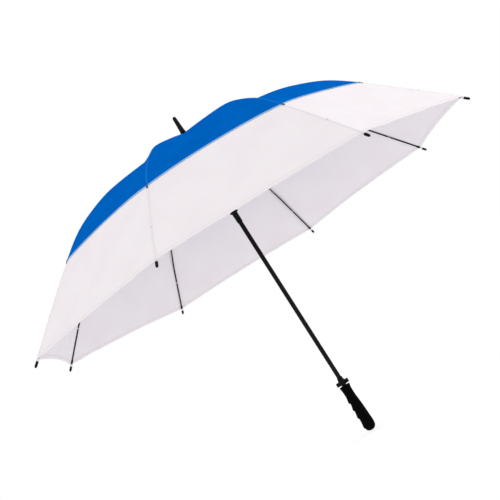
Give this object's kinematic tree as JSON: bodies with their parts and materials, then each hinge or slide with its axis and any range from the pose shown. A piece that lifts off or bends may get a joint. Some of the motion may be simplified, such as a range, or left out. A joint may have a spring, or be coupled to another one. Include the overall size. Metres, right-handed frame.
{
  "type": "golf umbrella",
  "caption": "Open vented golf umbrella: blue upper and white lower canopy on folding ribs and stretchers, with a sliding runner, straight pole and finger grip.",
  "frame": {"origin": "on the shaft axis, in the middle of the grip, where a hand or a holder has it", "axes": "+Z along the shaft towards the ferrule; +X out along rib 1, with the grip's finger swells on the -X side"},
  "size_m": [1.302, 1.302, 0.9592],
  "materials": {
    "canopy_blue": "taut woven nylon with a soft sheen",
    "canopy_white": "taut woven nylon with a soft sheen",
    "pole_black": "gloss black enamel",
    "rib_black": "pultruded fibreglass, black",
    "black_plastic": "moulded, satin",
    "grip_rubber": "moulded soft grip, satin",
    "steel": "drawn wire"
  },
  "bodies": {
    "pole": {"shaft": "pole_black", "ferrule": "black_plastic", "canopy_washer": "black_plastic", "crown_notch": "black_plastic", "crown_ring_wire": "steel", "grip": "grip_rubber"},
    "runner": {"runner": "black_plastic"},
    "release_collar": {"release_collar": "black_plastic"},
    "top_catch": {"top_catch": "steel"},
    "bottom_catch": {"bottom_catch": "steel"},
    "main_rib_1": {"main_rib_1": "rib_black", "upper_canopy_1": "canopy_blue"},
    "flex_rib_1": {"flex_rib_1": "rib_black", "lower_canopy_1": "canopy_white", "rib_tip_1": "black_plastic"},
    "stretcher_1": {"stretcher_1": "rib_black"},
    "main_rib_2": {"main_rib_2": "rib_black", "upper_canopy_2": "canopy_blue"},
    "flex_rib_2": {"flex_rib_2": "rib_black", "lower_canopy_2": "canopy_white", "rib_tip_2": "black_plastic"},
    "stretcher_2": {"stretcher_2": "rib_black"},
    "main_rib_3": {"main_rib_3": "rib_black", "upper_canopy_3": "canopy_blue"},
    "flex_rib_3": {"flex_rib_3": "rib_black", "lower_canopy_3": "canopy_white", "rib_tip_3": "black_plastic", "tie_strap": "canopy_white"},
    "stretcher_3": {"stretcher_3": "rib_black"},
    "main_rib_4": {"main_rib_4": "rib_black", "upper_canopy_4": "canopy_blue"},
    "flex_rib_4": {"flex_rib_4": "rib_black", "lower_canopy_4": "canopy_white", "rib_tip_4": "black_plastic"},
    "stretcher_4": {"stretcher_4": "rib_black"},
    "main_rib_5": {"main_rib_5": "rib_black", "upper_canopy_5": "canopy_blue"},
    "flex_rib_5": {"flex_rib_5": "rib_black", "lower_canopy_5": "canopy_white", "rib_tip_5": "black_plastic"},
    "stretcher_5": {"stretcher_5": "rib_black"},
    "main_rib_6": {"main_rib_6": "rib_black", "upper_canopy_6": "canopy_blue"},
    "flex_rib_6": {"flex_rib_6": "rib_black", "lower_canopy_6": "canopy_white", "rib_tip_6": "black_plastic"},
    "stretcher_6": {"stretcher_6": "rib_black"},
    "main_rib_7": {"main_rib_7": "rib_black", "upper_canopy_7": "canopy_blue"},
    "flex_rib_7": {"flex_rib_7": "rib_black", "lower_canopy_7": "canopy_white", "rib_tip_7": "black_plastic"},
    "stretcher_7": {"stretcher_7": "rib_black"},
    "main_rib_8": {"main_rib_8": "rib_black", "upper_canopy_8": "canopy_blue"},
    "flex_rib_8": {"flex_rib_8": "rib_black", "lower_canopy_8": "canopy_white", "rib_tip_8": "black_plastic"},
    "stretcher_8": {"stretcher_8": "rib_black"}
  },
  "joints": [
    {"name": "runner_slide", "type": "slide", "parent": "pole", "child": "runner", "axis": [0, 0, 1], "range_m": [-0.446, 0], "deforming": ["upper_canopy_1", "lower_canopy_1", "upper_canopy_2", "lower_canopy_2", "upper_canopy_3", "lower_canopy_3", "upper_canopy_4", "lower_canopy_4", "upper_canopy_5", "lower_canopy_5", "upper_canopy_6", "lower_canopy_6", "upper_canopy_7", "lower_canopy_7", "upper_canopy_8", "lower_canopy_8"]},
    {"name": "main_rib_1_hinge", "type": "hinge", "parent": "pole", "child": "main_rib_1", "pos_m": [0.0105, 0, 0.83462], "axis": [0, 1, 0], "range_deg": [0, 64.24]},
    {"name": "flex_rib_1_hinge", "type": "hinge", "parent": "main_rib_1", "child": "flex_rib_1", "pos_m": [0.455, 0, 0.66855], "axis": [0, 1, 0], "range_deg": [-10.82, 0]},
    {"name": "stretcher_1_hinge", "type": "hinge", "parent": "main_rib_1", "child": "stretcher_1", "pos_m": [0.325, 0, 0.75239], "axis": [0, 1, 0], "range_deg": [-123.21, 0]},
    {"name": "main_rib_2_hinge", "type": "hinge", "parent": "pole", "child": "main_rib_2", "pos_m": [0.00743, 0.00743, 0.83462], "axis": [-0.7071, 0.7071, 0], "range_deg": [0, 64.24]},
    {"name": "flex_rib_2_hinge", "type": "hinge", "parent": "main_rib_2", "child": "flex_rib_2", "pos_m": [0.32173, 0.32173, 0.66855], "axis": [-0.7071, 0.7071, 0], "range_deg": [-10.82, 0]},
    {"name": "stretcher_2_hinge", "type": "hinge", "parent": "main_rib_2", "child": "stretcher_2", "pos_m": [0.22981, 0.22981, 0.75239], "axis": [-0.7071, 0.7071, 0], "range_deg": [-123.21, 0]},
    {"name": "main_rib_3_hinge", "type": "hinge", "parent": "pole", "child": "main_rib_3", "pos_m": [0, 0.0105, 0.83462], "axis": [-1, 0, 0], "range_deg": [0, 64.24]},
    {"name": "flex_rib_3_hinge", "type": "hinge", "parent": "main_rib_3", "child": "flex_rib_3", "pos_m": [0, 0.455, 0.66855], "axis": [-1, 0, 0], "range_deg": [-10.82, 0]},
    {"name": "stretcher_3_hinge", "type": "hinge", "parent": "main_rib_3", "child": "stretcher_3", "pos_m": [0, 0.325, 0.75239], "axis": [-1, 0, 0], "range_deg": [-123.21, 0]},
    {"name": "main_rib_4_hinge", "type": "hinge", "parent": "pole", "child": "main_rib_4", "pos_m": [-0.00743, 0.00743, 0.83462], "axis": [-0.7071, -0.7071, 0], "range_deg": [0, 64.24]},
    {"name": "flex_rib_4_hinge", "type": "hinge", "parent": "main_rib_4", "child": "flex_rib_4", "pos_m": [-0.32173, 0.32173, 0.66855], "axis": [-0.7071, -0.7071, 0], "range_deg": [-10.82, 0]},
    {"name": "stretcher_4_hinge", "type": "hinge", "parent": "main_rib_4", "child": "stretcher_4", "pos_m": [-0.22981, 0.22981, 0.75239], "axis": [-0.7071, -0.7071, 0], "range_deg": [-123.21, 0]},
    {"name": "main_rib_5_hinge", "type": "hinge", "parent": "pole", "child": "main_rib_5", "pos_m": [-0.0105, 0, 0.83462], "axis": [0, -1, 0], "range_deg": [0, 64.24]},
    {"name": "flex_rib_5_hinge", "type": "hinge", "parent": "main_rib_5", "child": "flex_rib_5", "pos_m": [-0.455, 0, 0.66855], "axis": [0, -1, 0], "range_deg": [-10.82, 0]},
    {"name": "stretcher_5_hinge", "type": "hinge", "parent": "main_rib_5", "child": "stretcher_5", "pos_m": [-0.325, 0, 0.75239], "axis": [0, -1, 0], "range_deg": [-123.21, 0]},
    {"name": "main_rib_6_hinge", "type": "hinge", "parent": "pole", "child": "main_rib_6", "pos_m": [-0.00743, -0.00743, 0.83462], "axis": [0.7071, -0.7071, 0], "range_deg": [0, 64.24]},
    {"name": "flex_rib_6_hinge", "type": "hinge", "parent": "main_rib_6", "child": "flex_rib_6", "pos_m": [-0.32173, -0.32173, 0.66855], "axis": [0.7071, -0.7071, 0], "range_deg": [-10.82, 0]},
    {"name": "stretcher_6_hinge", "type": "hinge", "parent": "main_rib_6", "child": "stretcher_6", "pos_m": [-0.22981, -0.22981, 0.75239], "axis": [0.7071, -0.7071, 0], "range_deg": [-123.21, 0]},
    {"name": "main_rib_7_hinge", "type": "hinge", "parent": "pole", "child": "main_rib_7", "pos_m": [0, -0.0105, 0.83462], "axis": [1, 0, 0], "range_deg": [0, 64.24]},
    {"name": "flex_rib_7_hinge", "type": "hinge", "parent": "main_rib_7", "child": "flex_rib_7", "pos_m": [0, -0.455, 0.66855], "axis": [1, 0, 0], "range_deg": [-10.82, 0]},
    {"name": "stretcher_7_hinge", "type": "hinge", "parent": "main_rib_7", "child": "stretcher_7", "pos_m": [0, -0.325, 0.75239], "axis": [1, 0, 0], "range_deg": [-123.21, 0]},
    {"name": "main_rib_8_hinge", "type": "hinge", "parent": "pole", "child": "main_rib_8", "pos_m": [0.00743, -0.00743, 0.83462], "axis": [0.7071, 0.7071, 0], "range_deg": [0, 64.24]},
    {"name": "flex_rib_8_hinge", "type": "hinge", "parent": "main_rib_8", "child": "flex_rib_8", "pos_m": [0.32173, -0.32173, 0.66855], "axis": [0.7071, 0.7071, 0], "range_deg": [-10.82, 0]},
    {"name": "stretcher_8_hinge", "type": "hinge", "parent": "main_rib_8", "child": "stretcher_8", "pos_m": [0.22981, -0.22981, 0.75239], "axis": [0.7071, 0.7071, 0], "range_deg": [-123.21, 0]},
    {"name": "top_catch_press", "type": "slide", "parent": "pole", "child": "top_catch", "axis": [0, 1, 0], "range_m": [-0.0012, 0], "stiffness_N_per_m": 600},
    {"name": "collar_slide", "type": "slide", "parent": "pole", "child": "release_collar", "axis": [0, 0, 1], "range_m": [-0.002, 0], "stiffness_N_per_m": 800},
    {"name": "bottom_catch_press", "type": "slide", "parent": "pole", "child": "bottom_catch", "axis": [0, 1, 0], "range_m": [-0.0012, 0]}
  ],
  "couplings": [
    {"joint": "main_rib_1_hinge", "follows": "runner_slide", "rad_per_m": -2.5139},
    {"joint": "flex_rib_1_hinge", "follows": "runner_slide", "rad_per_m": 0.4233},
    {"joint": "stretcher_1_hinge", "follows": "runner_slide", "rad_per_m": 4.8213},
    {"joint": "main_rib_2_hinge", "follows": "runner_slide", "rad_per_m": -2.5139},
    {"joint": "flex_rib_2_hinge", "follows": "runner_slide", "rad_per_m": 0.4233},
    {"joint": "stretcher_2_hinge", "follows": "runner_slide", "rad_per_m": 4.8213},
    {"joint": "main_rib_3_hinge", "follows": "runner_slide", "rad_per_m": -2.5139},
    {"joint": "flex_rib_3_hinge", "follows": "runner_slide", "rad_per_m": 0.4233},
    {"joint": "stretcher_3_hinge", "follows": "runner_slide", "rad_per_m": 4.8213},
    {"joint": "main_rib_4_hinge", "follows": "runner_slide", "rad_per_m": -2.5139},
    {"joint": "flex_rib_4_hinge", "follows": "runner_slide", "rad_per_m": 0.4233},
    {"joint": "stretcher_4_hinge", "follows": "runner_slide", "rad_per_m": 4.8213},
    {"joint": "main_rib_5_hinge", "follows": "runner_slide", "rad_per_m": -2.5139},
    {"joint": "flex_rib_5_hinge", "follows": "runner_slide", "rad_per_m": 0.4233},
    {"joint": "stretcher_5_hinge", "follows": "runner_slide", "rad_per_m": 4.8213},
    {"joint": "main_rib_6_hinge", "follows": "runner_slide", "rad_per_m": -2.5139},
    {"joint": "flex_rib_6_hinge", "follows": "runner_slide", "rad_per_m": 0.4233},
    {"joint": "stretcher_6_hinge", "follows": "runner_slide", "rad_per_m": 4.8213},
    {"joint": "main_rib_7_hinge", "follows": "runner_slide", "rad_per_m": -2.5139},
    {"joint": "flex_rib_7_hinge", "follows": "runner_slide", "rad_per_m": 0.4233},
    {"joint": "stretcher_7_hinge", "follows": "runner_slide", "rad_per_m": 4.8213},
    {"joint": "main_rib_8_hinge", "follows": "runner_slide", "rad_per_m": -2.5139},
    {"joint": "flex_rib_8_hinge", "follows": "runner_slide", "rad_per_m": 0.4233},
    {"joint": "stretcher_8_hinge", "follows": "runner_slide", "rad_per_m": 4.8213},
    {"joint": "bottom_catch_press", "follows": "collar_slide", "ratio": 0.6}
  ]
}
